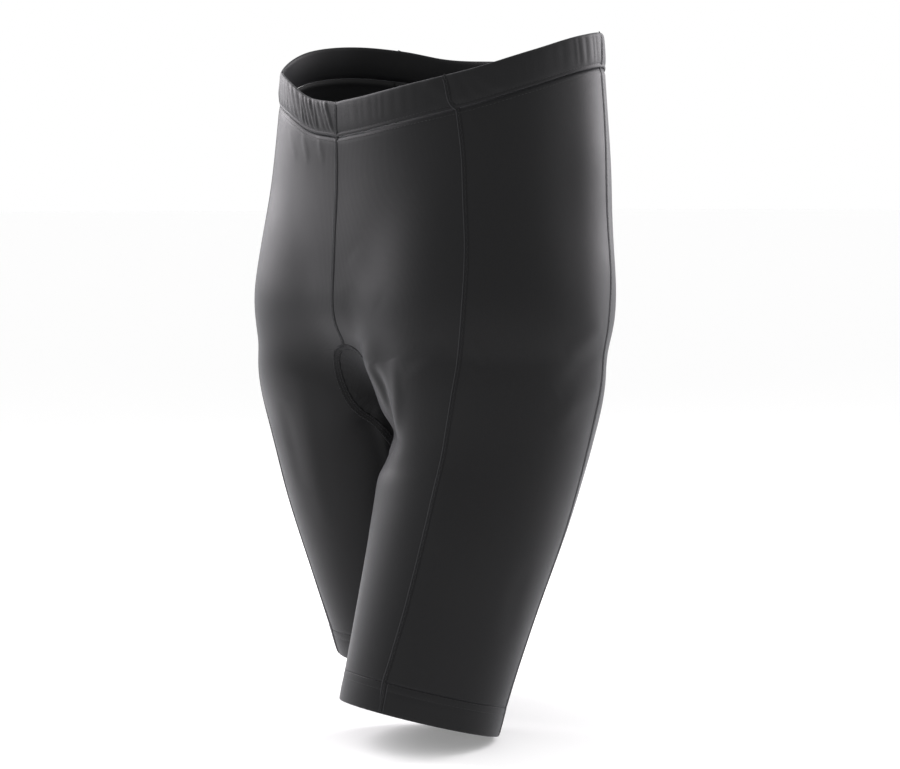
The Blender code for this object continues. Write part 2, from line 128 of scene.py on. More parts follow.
FLOOR_BELOW = 0.0015
FLOOR_ACROSS = 120.0
bpy.ops.object.select_all(action="DESELECT")
bpy.ops.mesh.primitive_grid_add(x_subdivisions=8, y_subdivisions=8, size=FLOOR_ACROSS,
                                location=(0.0, 0.0, cad_box[0].z - FLOOR_BELOW))
floor = bpy.context.active_object
floor.name = "floor"
pale = bpy.data.materials.new("pale_floor")
pale.use_nodes = True
paint = pale.node_tree.nodes["Principled BSDF"]
paint.inputs["Base Color"].default_value = (0.90, 0.90, 0.90, 1.0)
paint.inputs["Roughness"].default_value = 0.85
paint.inputs["Specular IOR Level"].default_value = 0.1
paint.inputs["Emission Color"].default_value = (1.0, 1.0, 1.0, 1.0)
paint.inputs["Emission Strength"].default_value = 0.20
floor.data.materials.append(pale)

# The leg panels and the gusset.
# Six panels of black satin-faced stretch knit, a front, a side and a back one on each leg, and an
# oval gusset of duller knit. They are cut flat and sewn edge to edge, and the figure that fills
# them draws them smooth, so they are shaped here as one skin and then cut apart at the seams.
SKIN_NODES = ("front_left", "side_left", "back_left", "front_right", "side_right", "back_right",
              "gusset")
MERGED_WITHIN = 0.00002
QUAD_FLATNESS = math.radians(60.0)
QUAD_SQUARENESS = math.radians(80.0)
# A wall's faces turn by more than this only where its outside meets its edge.
SHARP_CORNER = math.radians(50.0)
# How far each leg's middle stands out at the hem, how far below the waist it gets there, and the
# least share of it, above the crotch.
LEG_MIDDLE = 0.086
LEG_MIDDLE_BELOW = 0.28
LEG_MIDDLE_LEAST = 0.35


def only(piece):
    """Select one object alone and make it the active one."""
    bpy.ops.object.select_all(action="DESELECT")
    piece.select_set(True)
    bpy.context.view_layer.objects.active = piece


def copy_of(node_name, name):
    """A merged copy of a CAD node, with its grid of quads back."""
    piece = bpy.data.objects.new(name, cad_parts[node_name].data.copy())
    bpy.context.scene.collection.objects.link(piece)
    only(piece)
    bpy.ops.object.mode_set(mode="EDIT")
    bpy.ops.mesh.select_all(action="SELECT")
    bpy.ops.mesh.remove_doubles(threshold=MERGED_WITHIN)
    bpy.ops.mesh.tris_convert_to_quads(face_threshold=QUAD_FLATNESS,
                                       shape_threshold=QUAD_SQUARENESS, topology_influence=1.0)
    bpy.ops.object.mode_set(mode="OBJECT")
    return piece


def outward_at(centre, node_name):
    """Roughly which way is out of the garment at a place on one of its pieces."""
    if node_name == "gusset":
        return Vector((0.0, 0.0, -1.0))
    leg = LEG_MIDDLE * min(max(-centre.z / LEG_MIDDLE_BELOW, LEG_MIDDLE_LEAST), 1.0)
    sign = 1.0 if node_name.endswith("left") else -1.0
    return Vector((centre.x - sign * leg, centre.y, 0.0))


def keep_outer_side(piece, node_name):
    """Leave only the outer face of a wall of cloth."""
    mesh = bmesh.new()
    mesh.from_mesh(piece.data)
    sides = []
    waiting = set(mesh.faces)
    while waiting:
        side = [waiting.pop()]
        for face in side:
            for edge in face.edges:
                if len(edge.link_faces) == 2 and edge.calc_face_angle() < SHARP_CORNER:
                    for other in edge.link_faces:
                        if other in waiting:
                            waiting.discard(other)
                            side.append(other)
        sides.append(side)
    facing = [
        sum(f.normal.dot(outward_at(f.calc_center_median(), node_name)) * f.calc_area()
            for f in side)
        for side in sides
    ]
    outer = set(sides[facing.index(max(facing))])
    bmesh.ops.delete(mesh, geom=[f for f in mesh.faces if f not in outer], context="FACES")
    mesh.to_mesh(piece.data)
    mesh.free()


def coordinates(mesh):
    found = np.zeros(len(mesh.vertices) * 3)
    mesh.vertices.foreach_get("co", found)
    return found.reshape(-1, 3)


def move_to(mesh, points):
    mesh.vertices.foreach_set("co", np.asarray(points, dtype=np.float64).ravel())
    mesh.update()


SEWN_WITHIN = 0.0012
skin_parts = []
for node_name in SKIN_NODES:
    part = copy_of(node_name, "cut_" + node_name)
    keep_outer_side(part, node_name)
    part.data.materials.clear()
    part.data.materials.append(bpy.data.materials.new("cut_" + node_name))
    skin_parts.append(part)
bpy.ops.object.select_all(action="DESELECT")
for part in skin_parts:
    part.select_set(True)
bpy.context.view_layer.objects.active = skin_parts[0]
bpy.ops.object.join()
skin = bpy.context.active_object
bpy.ops.object.mode_set(mode="EDIT")
bpy.ops.mesh.select_all(action="SELECT")
bpy.ops.mesh.remove_doubles(threshold=SEWN_WITHIN)
bpy.ops.mesh.fill_holes(sides=3)
bpy.ops.object.mode_set(mode="OBJECT")

# The smoothing would pull the skin inside its corners, so they are first pushed out by as much.
FIT_LEVELS = 2
FIT_ROUNDS = 4
SKIN_LEVELS = 3
wanted = coordinates(skin.data)
smoothing = skin.modifiers.new("smooth", "SUBSURF")
smoothing.levels = smoothing.render_levels = FIT_LEVELS
smoothing.boundary_smooth = "PRESERVE_CORNERS"
for _ in range(FIT_ROUNDS):
    bpy.context.view_layer.update()
    settled = skin.evaluated_get(bpy.context.evaluated_depsgraph_get()).data
    reached = coordinates(settled)[:len(wanted)]
    move_to(skin.data, coordinates(skin.data) + wanted - reached)
smoothing.levels = smoothing.render_levels = SKIN_LEVELS
only(skin)
bpy.ops.object.modifier_apply(modifier="smooth")

# The two ends of the gusset, where four pieces meet, are smoothed flat: place and reach.
GUSSET_ENDS = (((0.0, 0.091, -0.190), 0.017), ((0.0, -0.091, -0.198), 0.010))
END_ROUNDS = 40
places = coordinates(skin.data)
for place, reach in GUSSET_ENDS:
    near = np.linalg.norm(places - np.array(place), axis=1) < reach
    skin.data.polygons.foreach_set("select", np.zeros(len(skin.data.polygons), dtype=bool))
    skin.data.edges.foreach_set("select", np.zeros(len(skin.data.edges), dtype=bool))
    skin.data.vertices.foreach_set("select", near)
    bpy.ops.object.mode_set(mode="EDIT")
    bpy.ops.mesh.vertices_smooth(factor=0.5, repeat=END_ROUNDS)
    bpy.ops.object.mode_set(mode="OBJECT")

# The knit's grain runs down each leg: across it is counted round the leg, and along it downward.
# The legs step apart below the crotch, by these shares of the way down.
LEG_OUT = 0.083
LEG_ROUND = 0.083
STEP_FROM = -0.24
STEP_LEFT = -0.27
STEP_RIGHT = 0.236
skin_names = [material.name for material in skin.data.materials]


def add_grain(piece, across, along):
    """A UV map in metres, for patterns that follow the cloth."""
    layer = piece.data.uv_layers.new(name="grain")
    loops = np.zeros(len(piece.data.loops), dtype=np.int32)
    piece.data.loops.foreach_get("vertex_index", loops)
    values = np.stack([across, along], -1)[loops]
    layer.data.foreach_set("uv", values.astype(np.float32).ravel())


points = coordinates(skin.data)
leg_sign = np.where(points[:, 0] >= 0, 1.0, -1.0)
stride = np.where(leg_sign > 0, STEP_LEFT, STEP_RIGHT) * np.maximum(STEP_FROM - points[:, 2], 0.0)
round_leg = np.arctan2(points[:, 1] - stride, np.abs(points[:, 0]) - LEG_OUT)
add_grain(skin, round_leg * LEG_ROUND, points[:, 2])


def follow(edges):
    """The vertices of a chain of edges in order, and whether it closes on itself."""
    beside = {}
    for edge in sorted(edges, key=lambda edge: edge.index):
        for vert in edge.verts:
            beside.setdefault(vert, []).append(edge.other_vert(vert))
    ends = [vert for vert, others in beside.items() if len(others) == 1]
    start = max(ends or beside, key=lambda vert: (vert.co.z, vert.index))
    chain = [start]
    before = None
    while True:
        onward = [vert for vert in beside[chain[-1]] if vert is not before]
        if not onward or onward[0] is start:
            return chain, not ends
        before = chain[-1]
        chain.append(onward[0])


WAIST_ABOVE = -0.2


def find_seams():
    """Points and outward directions along each seam and open border of the skin."""
    mesh = bmesh.new()
    mesh.from_mesh(skin.data)
    mesh.normal_update()
    groups = {}
    for edge in mesh.edges:
        names = sorted({skin_names[face.material_index][4:] for face in edge.link_faces})
        if len(edge.link_faces) == 1:
            height = (edge.verts[0].co + edge.verts[1].co).z / 2
            side = "left" if edge.verts[0].co.x > 0 else "right"
            key = "waist" if height > WAIST_ABOVE else "hem_" + side
        elif len(names) == 2:
            key = "gusset" if "gusset" in names else names[0] + "-" + names[1]
        else:
            continue
        groups.setdefault(key, []).append(edge)
    seams = {}
    for key, edges in groups.items():
        waiting = set(edges)
        runs = []
        while waiting:
            run = [waiting.pop()]
            for edge in run:
                for vert in edge.verts:
                    for other in vert.link_edges:
                        if other in waiting:
                            waiting.discard(other)
                            run.append(other)
            runs.append(run)
        runs.sort(key=lambda run: -max(edge.verts[0].co.z for edge in run))
        for number, run in enumerate(runs):
            chain, closed = follow(run)
            name = key if number == 0 else key + "_" + str(number + 1)
            seams[name] = (np.array([vert.co for vert in chain]),
                           np.array([vert.normal for vert in chain]), closed)
    mesh.free()
    return seams


# At the left groin the panel is drawn over the gusset above and back off it below, and the right
# leg's panel rises under it. Behind the left hip the cloth is drawn straighter: which leg, a
# place, how far round it the cloth moves, and how far it goes to the left, back and up.
PULLS = (
    (1.0, (0.044, -0.097, -0.206), 0.019, (-0.0049, -0.0063, 0.0)),
    (1.0, (0.056, -0.092, -0.262), 0.020, (0.0074, 0.0094, 0.0)),
    (1.0, (0.033, -0.080, -0.267), 0.017, (0.0052, 0.0066, 0.0)),
    (1.0, (0.020, -0.066, -0.266), 0.014, (0.0040, 0.0051, 0.0)),
    (-1.0, (-0.018, -0.050, -0.275), 0.024, (0.0, 0.0, 0.0160)),
    (1.0, (0.156, 0.045, -0.166), 0.024, (-0.0014, -0.0010, 0.0)),
    (1.0, (0.158, 0.030, -0.212), 0.020, (0.0012, 0.0009, 0.0)),
)
# The creases that the figure leaves in the cloth, each a soft trough or ridge, uneven in length
# and depth: its width and height in mm, and the places that it runs through.
CREASES = (
    # Hollow beside the left groin.
    (6.0, -3.0, ((0.053, -0.100, -0.207), (0.062, -0.103, -0.223), (0.063, -0.101, -0.239),
        (0.052, -0.096, -0.257))),
    # Fold at the left groin.
    (7.5, 1.5, ((0.075, -0.104, -0.202), (0.081, -0.105, -0.218), (0.081, -0.105, -0.235),
        (0.074, -0.102, -0.252), (0.062, -0.100, -0.269), (0.060, -0.100, -0.287))),
    # Pull lines from the groin.
    (7.0, -0.5, ((0.090, -0.104, -0.206), (0.109, -0.100, -0.193), (0.126, -0.093, -0.184))),
    (6.0, 0.4, ((0.088, -0.105, -0.220), (0.109, -0.100, -0.208), (0.127, -0.091, -0.194))),
    # Slack over the belly.
    (12.0, 0.5, ((0.024, -0.104, -0.124), (0.041, -0.105, -0.143), (0.061, -0.107, -0.161))),
    (10.0, -0.35, ((0.017, -0.105, -0.151), (0.024, -0.105, -0.168), (0.032, -0.101, -0.185))),
    # Puckers at the left side seam.
    (3.0, 0.45, ((0.142, -0.081, -0.184), (0.144, -0.077, -0.192), (0.148, -0.073, -0.204))),
    (3.0, 0.35, ((0.140, -0.081, -0.201), (0.145, -0.077, -0.213))),
    # Soft creases on the left hip.
    (9.0, -0.8, ((0.158, 0.032, -0.197), (0.167, 0.003, -0.208), (0.169, -0.022, -0.225))),
    (8.0, 0.6, ((0.164, 0.028, -0.174), (0.168, 0.007, -0.187), (0.169, -0.013, -0.195))),
    (9.0, 0.6, ((0.158, 0.028, -0.222), (0.168, -0.004, -0.233), (0.168, -0.026, -0.254))),
    # Soft creases on the left thigh.
    (9.0, -0.5, ((0.160, -0.041, -0.350), (0.155, -0.051, -0.378), (0.149, -0.053, -0.410))),
    (8.0, 0.5, ((0.129, -0.093, -0.282), (0.129, -0.099, -0.311), (0.126, -0.106, -0.342))),
    # Wrinkles under the band, left side.
    (2.6, 0.55, ((0.123, -0.070, -0.017), (0.128, -0.067, -0.026), (0.134, -0.062, -0.036))),
    (2.6, 0.45, ((0.130, -0.063, -0.015), (0.134, -0.059, -0.023), (0.140, -0.053, -0.031))),
    (3.0, 0.35, ((0.119, -0.075, -0.025), (0.122, -0.074, -0.036), (0.127, -0.072, -0.048))),
    # Wrinkles under the band, right front.
    (2.6, 0.45, ((-0.073, -0.095, -0.025), (-0.067, -0.097, -0.036), (-0.058, -0.098, -0.049))),
    (2.6, 0.55, ((-0.049, -0.100, -0.031), (-0.044, -0.100, -0.042), (-0.039, -0.100, -0.051))),
    (2.4, 0.4, ((-0.025, -0.101, -0.034), (-0.022, -0.101, -0.043), (-0.018, -0.101, -0.051))),
    # Soft creases on the right thigh.
    (9.0, 0.7, ((-0.055, -0.097, -0.219), (-0.062, -0.087, -0.262), (-0.066, -0.074, -0.308),
        (-0.067, -0.063, -0.349))),
    (8.0, -0.6, ((-0.081, -0.097, -0.243), (-0.085, -0.086, -0.276), (-0.085, -0.075, -0.318))),
    # Hollow beside the right groin.
    (5.0, -1.9, ((-0.006, -0.035, -0.246), (-0.004, -0.020, -0.264), (-0.009, -0.017, -0.284))),
    # Fold at the right groin.
    (5.0, 1.4, ((-0.008, -0.052, -0.238), (-0.016, -0.051, -0.262), (-0.018, -0.039, -0.292),
        (-0.014, -0.020, -0.325))),
    # Folds under the seat.
    (7.0, -0.9, ((0.054, 0.054, -0.266), (0.089, 0.056, -0.279), (0.124, 0.048, -0.276))),
    (6.0, 0.6, ((0.066, 0.049, -0.290), (0.097, 0.048, -0.299), (0.128, 0.040, -0.292))),
    (7.0, -1.0, ((-0.054, 0.068, -0.262), (-0.085, 0.076, -0.276), (-0.123, 0.067, -0.272))),
    (6.0, 0.7, ((-0.067, 0.071, -0.287), (-0.094, 0.077, -0.297), (-0.117, 0.071, -0.294))),
    # Slack over the small of the back.
    (10.0, -0.6, ((0.022, 0.104, -0.075), (0.004, 0.105, -0.095), (-0.018, 0.104, -0.082))),
    # Wrinkles under the band, back.
    (2.6, 0.45, ((0.105, 0.082, -0.024), (0.099, 0.086, -0.038))),
    (2.8, 0.55, ((0.066, 0.098, -0.025), (0.071, 0.097, -0.045))),
    (2.6, 0.5, ((0.032, 0.104, -0.026), (0.028, 0.104, -0.042))),
    (2.8, 0.4, ((-0.017, 0.104, -0.026), (-0.020, 0.104, -0.048))),
    (2.6, 0.55, ((-0.054, 0.101, -0.025), (-0.058, 0.100, -0.040))),
    (2.8, 0.5, ((-0.099, 0.086, -0.022), (-0.106, 0.083, -0.042))),
    (2.6, 0.45, ((-0.146, 0.026, -0.012), (-0.147, 0.031, -0.032))),
    # Soft creases on the right hip.
    (9.0, -0.7, ((-0.145, 0.059, -0.150), (-0.164, 0.029, -0.172), (-0.170, -0.012, -0.188))),
    (8.0, 0.6, ((-0.155, 0.038, -0.215), (-0.165, 0.014, -0.238), (-0.168, -0.004, -0.262))),
    (9.0, -0.5, ((-0.158, 0.012, -0.360), (-0.150, 0.031, -0.400), (-0.142, 0.051, -0.430))),
    # Creases above the backs of the knees.
    (7.0, -0.6, ((0.076, -0.003, -0.438), (0.096, -0.008, -0.446), (0.110, -0.011, -0.440))),
    (6.0, 0.5, ((0.064, 0.009, -0.398), (0.087, 0.009, -0.404))),
    (7.0, -0.7, ((-0.072, 0.092, -0.420), (-0.090, 0.093, -0.428), (-0.108, 0.087, -0.422))),
    (6.0, 0.5, ((-0.063, 0.082, -0.376), (-0.081, 0.087, -0.384))),
)
CREASE_STEPS = 24
CREASE_ROUNDS = 6
CREASE_REACH = 3.0
CREASE_ENDS = 0.6


def crease(points, normals, wide, high, places):
    """How far a crease moves each point: most at the middle of its length, nothing at its ends."""
    places = np.array(places)
    travelled = np.concatenate([[0.0], np.cumsum(np.linalg.norm(np.diff(places, axis=0), axis=1))])
    at = np.linspace(0.0, travelled[-1], CREASE_STEPS + 1)
    line = np.stack([np.interp(at, travelled, places[:, k]) for k in range(3)], -1)
    for _ in range(CREASE_ROUNDS):
        line[1:-1] = (line[:-2] + 2 * line[1:-1] + line[2:]) / 4
    middle = line.mean(0)
    reach = np.linalg.norm(line - middle, axis=1).max() + CREASE_REACH * wide / 1000
    near = np.flatnonzero(np.linalg.norm(points - middle, axis=1) < reach)
    away = np.full(len(near), np.inf)
    share = np.zeros(len(near))
    for number, (first, last) in enumerate(zip(line[:-1], line[1:])):
        along = last - first
        t = np.clip((points[near] - first) @ along / (along @ along), 0.0, 1.0)
        gap = np.linalg.norm(points[near] - first - t[:, None] * along, axis=1)
        closer = gap < away
        away = np.where(closer, gap, away)
        share = np.where(closer, (number + t) / CREASE_STEPS, share)
    form = np.exp(-(away * 1000 / wide)**2) * np.sin(np.pi * share)**CREASE_ENDS
    moved = np.zeros(points.shape)
    moved[near] = normals[near] * (form * high / 1000)[:, None]
    return moved


def skin_normals():
    found = np.zeros(len(skin.data.vertices) * 3)
    skin.data.vertices.foreach_get("normal", found)
    return found.reshape(-1, 3)


PULL_FROM_MIDDLE = 0.012
smooth_points = coordinates(skin.data)
pulled = smooth_points.copy()
for leg, place, reach, pull in PULLS:
    away = np.linalg.norm(smooth_points - np.array(place), axis=1)
    share = np.exp(-(away / reach)**2) * np.clip(leg * smooth_points[:, 0] / PULL_FROM_MIDDLE,
                                                    0.0, 1.0)
    pulled += share[:, None] * np.array(pull)
move_to(skin.data, pulled)
normals = skin_normals()
for wide, high, places in CREASES:
    pulled += crease(smooth_points, normals, wide, high, places)
move_to(skin.data, pulled)

# The gusset's seam draws the knit beside it into short puckers, longer and shorter by turns, and
# draws the panels outside it less.
PUCKER_LONG = 0.0082
PUCKER_HIGH = 0.00042
PUCKER_REACH = 0.0095
PUCKER_OUTSIDE = 0.35
PUCKERS_WITHIN = 0.16
rim = find_seams()["gusset"][0]
rim_steps = np.linalg.norm(np.diff(np.concatenate([rim, rim[:1]]), axis=0), axis=1)
rim_at = np.concatenate([[0.0], np.cumsum(rim_steps)[:-1]])
rim_long = rim_steps.sum()
points = coordinates(skin.data)
near = np.flatnonzero(np.linalg.norm(points - rim.mean(0), axis=1) < PUCKERS_WITHIN)
on_gusset = np.zeros(len(points), dtype=bool)
for face in skin.data.polygons:
    if skin_names[face.material_index] == "cut_gusset":
        on_gusset[list(face.vertices)] = True
gaps = np.linalg.norm(points[near][:, None] - rim[None], axis=2)
closest = gaps.argmin(1)
away = gaps.min(1)
turns = 2 * np.pi * rim_at[closest] / rim_long
waves = round(rim_long / PUCKER_LONG)
ripple = np.sin(waves * turns + 1.4 * np.sin(3 * turns) + 0.9 * np.sin(7 * turns + 1.0))
uneven = 0.65 + 0.35 * np.sin(5 * turns + 2.0)
reach = np.where(on_gusset[near], PUCKER_REACH, PUCKER_REACH * PUCKER_OUTSIDE)
height = PUCKER_HIGH * ripple * uneven * np.exp(-(away / reach)**2)
for place, reach in GUSSET_ENDS:
    far = np.linalg.norm(points[near] - np.array(place), axis=1)
    height *= np.clip(far / reach - 0.8, 0.0, 1.0)
points[near] += skin_normals()[near] * height[:, None]
move_to(skin.data, points)

# The panels' top edges lie under the waistband.
TUCK_REACH = 0.0045
TUCK_DEEP = 0.0012
edge = find_seams()["waist"][0]
top = np.flatnonzero(points[:, 2] > edge[:, 2].min() - TUCK_REACH)
away = np.linalg.norm(points[top][:, None] - edge[None], axis=2).min(1)
share = np.clip(1 - away / TUCK_REACH, 0.0, 1.0)
share = share * share * (3 - 2 * share)
points[top] -= skin_normals()[top] * (TUCK_DEEP * share)[:, None]
move_to(skin.data, points)
seams = find_seams()


def knit(name, colour, roughness, grain_depth, unevenness):
    """Stretch knit: a dark satin face with fine ribs along the grain and a slightly uneven nap."""
    material = bpy.data.materials.new(name)
    material.use_nodes = True
    nodes, links = material.node_tree.nodes, material.node_tree.links
    shader = nodes["Principled BSDF"]
    shader.inputs["Specular IOR Level"].default_value = 0.19
    shader.inputs["Sheen Weight"].default_value = 0.10
    shader.inputs["Sheen Roughness"].default_value = 0.45
    shader.inputs["Sheen Tint"].default_value = (0.9, 0.92, 1.0, 1.0)

    grain = nodes.new("ShaderNodeUVMap")
    grain.uv_map = "grain"
    ribs = nodes.new("ShaderNodeTexWave")
    ribs.wave_type = "BANDS"
    ribs.bands_direction = "X"
    ribs.inputs["Scale"].default_value = 330.0
    ribs.inputs["Distortion"].default_value = 0.6
    links.new(grain.outputs["UV"], ribs.inputs["Vector"])

    place = nodes.new("ShaderNodeTexCoord")
    nap = nodes.new("ShaderNodeTexNoise")
    nap.inputs["Scale"].default_value = 900.0
    nap.inputs["Detail"].default_value = 3.0
    links.new(place.outputs["Object"], nap.inputs["Vector"])
    stretch = nodes.new("ShaderNodeTexNoise")
    stretch.inputs["Scale"].default_value = 22.0
    stretch.inputs["Detail"].default_value = 4.0
    links.new(place.outputs["Object"], stretch.inputs["Vector"])

    dye = nodes.new("ShaderNodeMix")
    dye.data_type = "RGBA"
    dye.inputs["A"].default_value = [c * (1 - unevenness) for c in colour] + [1.0]
    dye.inputs["B"].default_value = [c * (1 + unevenness) for c in colour] + [1.0]
    links.new(stretch.outputs["Fac"], dye.inputs["Factor"])
    links.new(dye.outputs["Result"], shader.inputs["Base Color"])

    shine = nodes.new("ShaderNodeMapRange")
    shine.inputs["From Min"].default_value = 0.3
    shine.inputs["From Max"].default_value = 0.7
    shine.inputs["To Min"].default_value = roughness - 0.03
    shine.inputs["To Max"].default_value = roughness + 0.03
    links.new(stretch.outputs["Fac"], shine.inputs["Value"])
    links.new(shine.outputs["Result"], shader.inputs["Roughness"])

    rib_bump = nodes.new("ShaderNodeBump")
    rib_bump.inputs["Strength"].default_value = 0.25
    rib_bump.inputs["Distance"].default_value = grain_depth
    links.new(ribs.outputs["Fac"], rib_bump.inputs["Height"])
    nap_bump = nodes.new("ShaderNodeBump")
    nap_bump.inputs["Strength"].default_value = 0.35
    nap_bump.inputs["Distance"].default_value = grain_depth
    links.new(nap.outputs["Fac"], nap_bump.inputs["Height"])
    links.new(rib_bump.outputs["Normal"], nap_bump.inputs["Normal"])
    links.new(nap_bump.outputs["Normal"], shader.inputs["Normal"])
    return material


panel_knit = knit("panel_knit", (0.0065, 0.0065, 0.0072), 0.46, 0.00012, 0.10)
side_knit = knit("side_knit", (0.0060, 0.0060, 0.0066), 0.48, 0.00012, 0.10)
gusset_knit = knit("gusset_knit", (0.0060, 0.0060, 0.0066), 0.62, 0.00020, 0.15)

# The knit's inner face is matt and darker, and so is its cut edge.
backing_knit = knit("backing_knit", (0.0030, 0.0030, 0.0033), 0.80, 0.00015, 0.10)
backing_knit.node_tree.nodes["Principled BSDF"].inputs["Specular IOR Level"].default_value = 0.05

# How thick each panel's knit is, in metres.
PANEL_THICK = 0.0011

only(skin)
bpy.ops.object.mode_set(mode="EDIT")
bpy.ops.mesh.select_all(action="SELECT")
bpy.ops.mesh.separate(type="MATERIAL")
bpy.ops.object.mode_set(mode="OBJECT")
for piece in list(bpy.context.selected_objects):
    node_name = piece.data.materials[0].name[4:]
    kind = node_name.split("_")[0]
    piece.name = node_name + "_panel" if kind != "gusset" else "crotch_gusset"
    only(piece)
    wall = piece.modifiers.new("wall", "SOLIDIFY")
    wall.thickness = PANEL_THICK
    wall.offset = -1.0
    wall.material_offset = 1
    wall.material_offset_rim = 1
    bpy.ops.object.modifier_apply(modifier="wall")
    piece.data.materials.clear()
    finish = {"gusset": gusset_knit, "side": side_knit}.get(kind, panel_knit)
    piece.data.materials.append(finish)
    piece.data.materials.append(backing_knit)
    bpy.ops.object.shade_smooth()
    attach(piece, "root")
    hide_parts(node_name)

# The waistband.
# A casing of the panels' own knit, turned over a flat elastic and held by two rows of twin-needle
# stitching. The elastic draws it in, so it lies in fine upright gathers.
BAND_INSIDE = 0.0018
BAND_TURNS = 900
# Down from the rim and out from the skin, in mm, from the fold round to the stitched edge.
BAND_OUTSIDE = (
    (0.0, -0.55), (0.25, 0.05), (0.8, 0.50), (2.0, 0.75), (4.5, 0.90), (8.0, 1.00),
    (12.0, 1.00), (16.0, 0.95), (19.5, 0.85), (21.8, 0.65), (23.2, 0.42), (23.9, 0.18),
    (24.6, 0.42), (25.6, 0.48), (26.3, 0.30), (26.6, -0.20),
)
BAND_BACKING = ((26.0, -0.75), (22.0, -1.7), (12.0, -1.8), (3.0, -1.8), (0.8, -1.6), (0.15, -1.1))
# Gathers: from and to in degrees from the front, how many, how far they rise in mm, and how far
# they lean in degrees between the rim and the stitching.
BAND_GATHERS = {
    1.0: ((2.0, 20.0, 4, 0.08, 1.0), (20.0, 50.0, 7, 0.12, 1.0), (50.0, 68.0, 4, 1.10, 8.0),
          (68.0, 96.0, 7, 0.14, 1.0), (96.0, 116.0, 7, 0.35, 1.0), (116.0, 178.0, 26, 0.50, 1.0)),
    -1.0: ((3.0, 38.0, 11, 0.85, -5.0), (38.0, 78.0, 12, 0.50, -2.0), (78.0, 130.0, 18, 0.50, 1.0),
           (130.0, 178.0, 20, 0.50, 1.0)),
}


def corner_loops(node_name):
    """The four loops of corner points that run round a ring, highest first."""
    piece = copy_of(node_name, "loops_of_" + node_name)
    mesh = bmesh.new()
    mesh.from_mesh(piece.data)
    bpy.data.objects.remove(piece)
    waiting = {edge for edge in mesh.edges
               if len(edge.link_faces) == 2 and edge.calc_face_angle() > SHARP_CORNER}
    loops = []
    while waiting:
        run = [waiting.pop()]
        for edge in run:
            for vert in edge.verts:
                for other in vert.link_edges:
                    if other in waiting:
                        waiting.discard(other)
                        run.append(other)
        chain = follow(run)[0]
        loops.append(np.array([vert.co for vert in chain]))
    mesh.free()
    loops.sort(key=lambda loop: -loop[:, 2].mean())
    return loops


def ring_size(loop):
    return np.linalg.norm(loop[:, :2] - loop[:, :2].mean(0), axis=1).mean()


def round_loop(loop, centre, turns):
    """Points of a closed loop at even turns about a centre, on a smooth curve through it."""
    turn = np.arctan2(loop[:, 0] - centre[0], -(loop[:, 1] - centre[1]))
    order = np.argsort(turn)
    turn, loop = turn[order], loop[order]
    keep = np.concatenate([[True], np.diff(turn) > 1e-4])
    turn, loop = turn[keep], loop[keep]
    turn = np.concatenate([turn[-2:] - 2 * np.pi, turn, turn[:2] + 2 * np.pi])
    loop = np.concatenate([loop[-2:], loop, loop[:2]])
    at = np.linspace(-np.pi, np.pi, turns + 1)[:-1]
    slopes = np.gradient(loop, turn, axis=0)
    low = np.clip(np.searchsorted(turn, at) - 1, 0, len(turn) - 2)
    span = (turn[low + 1] - turn[low])[:, None]
    t = ((at - turn[low])[:, None]) / span
    start = (2 * t**3 - 3 * t**2 + 1) * loop[low] + (t**3 - 2 * t**2 + t) * span * slopes[low]
    end = (3 * t**2 - 2 * t**3) * loop[low + 1] + (t**3 - t**2) * span * slopes[low + 1]
    return at, start + end


WELDED_WITHIN = 0.000002


def ring_piece(name, top, bottom, outside, backing, inside, rises):
    """A ring of cloth between two loops of points, one above the other. The profile is given in mm
    down from the upper loop and mm out from a face that lies the inside's distance from them, and
    rises is how far each turn stands out at each row of the profile."""
    profile = list(outside) + list(backing)
    turns, rows = len(top), len(profile)
    tangent = np.roll(top, -1, axis=0) - np.roll(top, 1, axis=0)
    out = np.cross(tangent, top - bottom)
    out /= np.linalg.norm(out, axis=1)[:, None]
    middle = top.mean(0)
    if (out * (top - middle)).sum() < 0:
        out = -out
    down = bottom - top
    deep = np.linalg.norm(down, axis=1)[:, None]
    down = down / deep
    bpy.ops.mesh.primitive_grid_add(x_subdivisions=turns, y_subdivisions=rows)
    piece = bpy.context.active_object
    piece.name = name
    places = np.zeros((rows, turns, 3))
    for row, (below, proud) in enumerate(profile):
        stand = inside + proud / 1000 + rises[:, row]
        places[row] = top + down * below / 1000 + out * stand[:, None]
    places = np.concatenate([places, places[:1]])
    places = np.concatenate([places, places[:, :1]], axis=1)
    step = np.linalg.norm(tangent, axis=1).mean() / 2
    around = np.tile(np.arange(turns + 1) * step, rows + 1)
    along = np.repeat([below / 1000 for below, proud in profile] + [0.0], turns + 1)
    add_grain(piece, around, along)
    move_to(piece.data, places.reshape(-1, 3))
    only(piece)
    bpy.ops.object.mode_set(mode="EDIT")
    bpy.ops.mesh.select_all(action="SELECT")
    bpy.ops.mesh.remove_doubles(threshold=WELDED_WITHIN)
    bpy.ops.mesh.normals_make_consistent(inside=False)
    bpy.ops.object.mode_set(mode="OBJECT")
    bpy.ops.object.shade_smooth()
    return piece, out, places[:len(outside), :turns]


# The gathers rise and fade over so many mm from the rim and end so many mm below it.
GATHER_RISES_OVER = 2.5
GATHER_ENDS = 23.6
GATHER_FADES_OVER = 5.0
GATHER_LEANS_OVER = 24.0
GATHER_OVERLAP = 1.15
# How uneven they are: the least and the most of their width, height and lean.
GATHER_WIDTHS = (0.6, 1.4)
GATHER_HEIGHTS = (0.45, 1.25)
GATHER_LEANS = (0.4, 1.4)


